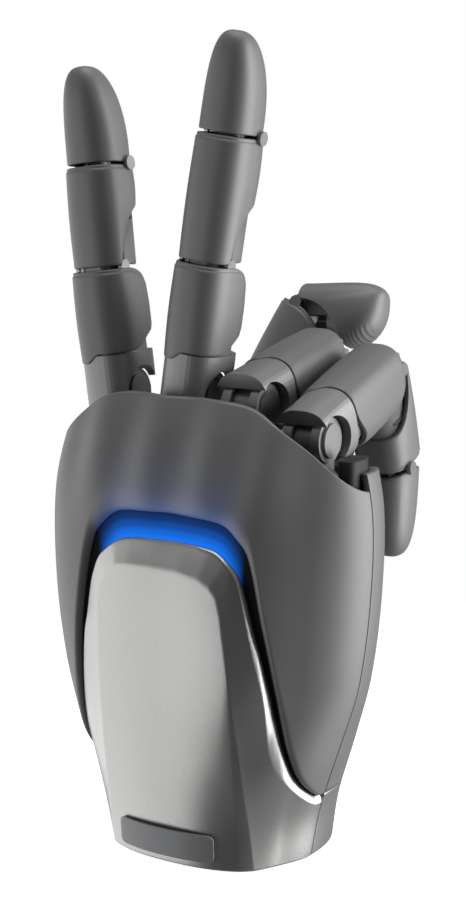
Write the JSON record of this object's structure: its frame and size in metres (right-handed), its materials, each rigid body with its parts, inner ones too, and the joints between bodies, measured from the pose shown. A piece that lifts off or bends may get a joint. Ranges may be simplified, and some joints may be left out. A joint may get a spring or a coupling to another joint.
{
  "type": "dexterous robot hand",
  "caption": "Right robot hand with jointed fingers and thumb, dark covers over metal frames, a silver back cover with a blue light strip, and a round bolted wrist flange.",
  "frame": {"origin": "centre of the wrist flange's outer face", "axes": "+Z from the wrist up along the straight fingers, -Y out of the back of the hand, +X towards the little finger"},
  "size_m": [0.1054, 0.1028, 0.2388],
  "materials": {
    "shell": "satin",
    "frame": "bead blasted",
    "tongue": "satin",
    "plate": "satin",
    "light": "glossy",
    "steel": "polished",
    "drive": "satin",
    "board": "matte"
  },
  "bodies": {
    "palm": {"back_shell": "shell", "palm_shell": "shell", "back_cover": "tongue", "wrist_cuff": "tongue", "light_strip": "light", "name_plate": "plate", "chassis": "frame", "wrist_flange": "frame", "actuators": "drive", "control_board": "board", "swing_pins": "steel"},
    "index_base": {"index_knuckle": "frame", "index_knuckle_pin": "steel"},
    "index_first": {"index_first_frame": "frame", "index_first_cover": "shell"},
    "index_middle": {"index_middle_frame": "frame", "index_middle_cover": "shell", "index_joint_pins": "steel", "index_coupling_rod": "steel"},
    "index_tip": {"index_tip_frame": "frame", "index_tip_cover": "shell"},
    "middle_base": {"middle_knuckle": "frame", "middle_knuckle_pin": "steel"},
    "middle_first": {"middle_first_frame": "frame", "middle_first_cover": "shell"},
    "middle_middle": {"middle_middle_frame": "frame", "middle_middle_cover": "shell", "middle_joint_pins": "steel", "middle_coupling_rod": "steel"},
    "middle_tip": {"middle_tip_frame": "frame", "middle_tip_cover": "shell"},
    "ring_base": {"ring_knuckle": "frame", "ring_knuckle_pin": "steel"},
    "ring_first": {"ring_first_frame": "frame", "ring_first_cover": "shell"},
    "ring_middle": {"ring_middle_frame": "frame", "ring_middle_cover": "shell", "ring_joint_pins": "steel", "ring_coupling_rod": "steel"},
    "ring_tip": {"ring_tip_frame": "frame", "ring_tip_cover": "shell"},
    "little_base": {"little_knuckle": "frame", "little_knuckle_pin": "steel"},
    "little_first": {"little_first_frame": "frame", "little_first_cover": "shell"},
    "little_middle": {"little_middle_frame": "frame", "little_middle_cover": "shell", "little_joint_pins": "steel", "little_coupling_rod": "steel"},
    "little_tip": {"little_tip_frame": "frame", "little_tip_cover": "shell"},
    "thumb_base": {"thumb_base": "frame"},
    "thumb_meta": {"thumb_root_pins": "steel", "thumb_meta_frame": "frame", "thumb_meta_cover": "shell"},
    "thumb_first": {"thumb_first_frame": "frame", "thumb_first_cover": "shell"},
    "thumb_tip": {"thumb_tip_pin": "steel", "thumb_tip_frame": "frame", "thumb_tip_cover": "shell"}
  },
  "joints": [
    {"name": "index_swing", "type": "hinge", "parent": "palm", "child": "index_base", "pos_m": [-0.03304, 0, 0.11813], "axis": [0, 1, 0], "range_deg": [-5, 6]},
    {"name": "index_bend", "type": "hinge", "parent": "index_base", "child": "index_first", "pos_m": [-0.035, 0, 0.133], "axis": [-0.9914, 0, -0.1305], "range_deg": [-3, 85]},
    {"name": "index_middle_bend", "type": "hinge", "parent": "index_first", "child": "index_middle", "pos_m": [-0.03983, -0.0026, 0.16968], "axis": [0.9914, 0, 0.1305], "range_deg": [-88, 3]},
    {"name": "index_end_bend", "type": "hinge", "parent": "index_middle", "child": "index_tip", "pos_m": [-0.04377, 0.00459, 0.19959], "axis": [0.9914, 0, 0.1305], "range_deg": [-23.76, 0.81]},
    {"name": "middle_swing", "type": "hinge", "parent": "palm", "child": "middle_base", "pos_m": [-0.01048, 0, 0.12062], "axis": [0, 1, 0], "range_deg": [-8, 2]},
    {"name": "middle_bend", "type": "hinge", "parent": "middle_base", "child": "middle_first", "pos_m": [-0.0086, 0, 0.1355], "axis": [-0.9921, 0, 0.1253], "range_deg": [-5, 50]},
    {"name": "middle_middle_bend", "type": "hinge", "parent": "middle_first", "child": "middle_middle", "pos_m": [-0.00383, -0.00127, 0.17327], "axis": [0.9921, 0, -0.1253], "range_deg": [-75, 2]},
    {"name": "middle_end_bend", "type": "hinge", "parent": "middle_middle", "child": "middle_tip", "pos_m": [0.00075, 0.0069, 0.2095], "axis": [0.9921, 0, -0.1253], "range_deg": [-20.25, 0.54]},
    {"name": "ring_swing", "type": "hinge", "parent": "palm", "child": "ring_base", "pos_m": [0.01, 0, 0.1175], "axis": [0, 1, 0], "range_deg": [-2.5, 2.5]},
    {"name": "ring_bend", "type": "hinge", "parent": "ring_base", "child": "ring_first", "pos_m": [0.01, 0, 0.1325], "axis": [-1, 0, 0], "range_deg": [-18, 5]},
    {"name": "ring_middle_bend", "type": "hinge", "parent": "ring_first", "child": "ring_middle", "pos_m": [0.01, 0.04239, 0.14261], "axis": [1, 0, 0], "range_deg": [-3, 30]},
    {"name": "ring_end_bend", "type": "hinge", "parent": "ring_middle", "child": "ring_tip", "pos_m": [0.01, 0.04143, 0.10916], "axis": [1, 0, 0], "range_deg": [-0.81, 8.1]},
    {"name": "little_swing", "type": "hinge", "parent": "palm", "child": "little_base", "pos_m": [0.0304, 0, 0.1095], "axis": [0, 1, 0], "range_deg": [-2, 2.5]},
    {"name": "little_bend", "type": "hinge", "parent": "little_base", "child": "little_first", "pos_m": [0.0304, 0, 0.1245], "axis": [-1, 0, 0], "range_deg": [-70, 10]},
    {"name": "little_middle_bend", "type": "hinge", "parent": "little_first", "child": "little_middle", "pos_m": [0.0304, 0.04132, 0.13985], "axis": [1, 0, 0], "range_deg": [-3, 72]},
    {"name": "little_end_bend", "type": "hinge", "parent": "little_middle", "child": "little_tip", "pos_m": [0.0304, 0.04595, 0.10919], "axis": [1, 0, 0], "range_deg": [-0.81, 19.44]},
    {"name": "thumb_turn", "type": "hinge", "parent": "palm", "child": "thumb_base", "pos_m": [-0.034, 0.024, 0.058], "axis": [0, 0, 1], "range_deg": [0, 70]},
    {"name": "thumb_swing", "type": "hinge", "parent": "thumb_base", "child": "thumb_meta", "pos_m": [-0.034, 0.0342, 0.076], "axis": [0.0066, -0.9477, 0.319], "range_deg": [-1, 26]},
    {"name": "thumb_bend", "type": "hinge", "parent": "thumb_meta", "child": "thumb_first", "pos_m": [-0.0144, 0.05071, 0.12466], "axis": [-0.0066, 0.9477, -0.319], "range_deg": [-1, 10]},
    {"name": "thumb_end_bend", "type": "hinge", "parent": "thumb_first", "child": "thumb_tip", "pos_m": [-0.00543, 0.0606, 0.15386], "axis": [-0.0066, 0.9477, -0.319], "range_deg": [-62, 5]}
  ],
  "couplings": [
    {"joint": "index_end_bend", "follows": "index_middle_bend", "ratio": 0.27},
    {"joint": "middle_end_bend", "follows": "middle_middle_bend", "ratio": 0.27},
    {"joint": "ring_end_bend", "follows": "ring_middle_bend", "ratio": 0.27},
    {"joint": "little_end_bend", "follows": "little_middle_bend", "ratio": 0.27}
  ]
}
